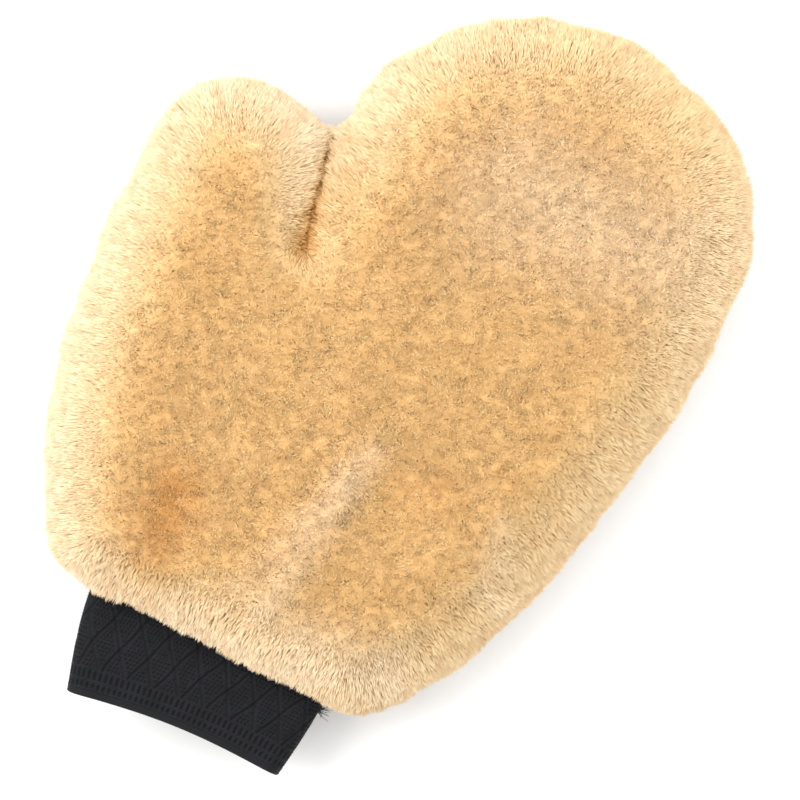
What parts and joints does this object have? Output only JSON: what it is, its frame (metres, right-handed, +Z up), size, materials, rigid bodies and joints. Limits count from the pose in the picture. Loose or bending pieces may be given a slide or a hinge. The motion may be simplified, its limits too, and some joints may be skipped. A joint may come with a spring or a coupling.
{
  "type": "wash mitt",
  "caption": "Sheepskin wash mitt with a thumb, wool pile on both faces, a hide-lined hand pocket and a knitted elastic cuff.",
  "frame": {"origin": "centre of the box's footprint, on the surface that the mitt lies on", "axes": "+Y runs from the cuff mouth to the fingertips, +Z is up out of the back of the mitt, and the thumb is on the -X side"},
  "size_m": [0.216, 0.285, 0.056],
  "materials": {
    "wool": "sheared lambswool pile, golden with a cream rim",
    "hide": "suede flesh side of tanned sheepskin",
    "cuff_knit": "matte jacquard elastic knit",
    "elastic": "matte covered rubber yarn",
    "pale_thread": "spun polyester thread",
    "dark_thread": "spun polyester thread"
  },
  "bodies": {
    "root": {"back_fleece": "wool", "palm_fleece": "wool", "back_hide": "hide", "palm_hide": "hide", "hand_seam_thread": "pale_thread", "cuff_face_knit": "cuff_knit", "cuff_back_knit": "cuff_knit", "cuff_hem": "cuff_knit", "cuff_elastic_yarns": "elastic", "cuff_seam_allowance": "cuff_knit", "cuff_seam_thread": "dark_thread", "seam_thread_tail": "dark_thread", "wrist_seam_thread": "pale_thread"}
  },
  "joints": []
}
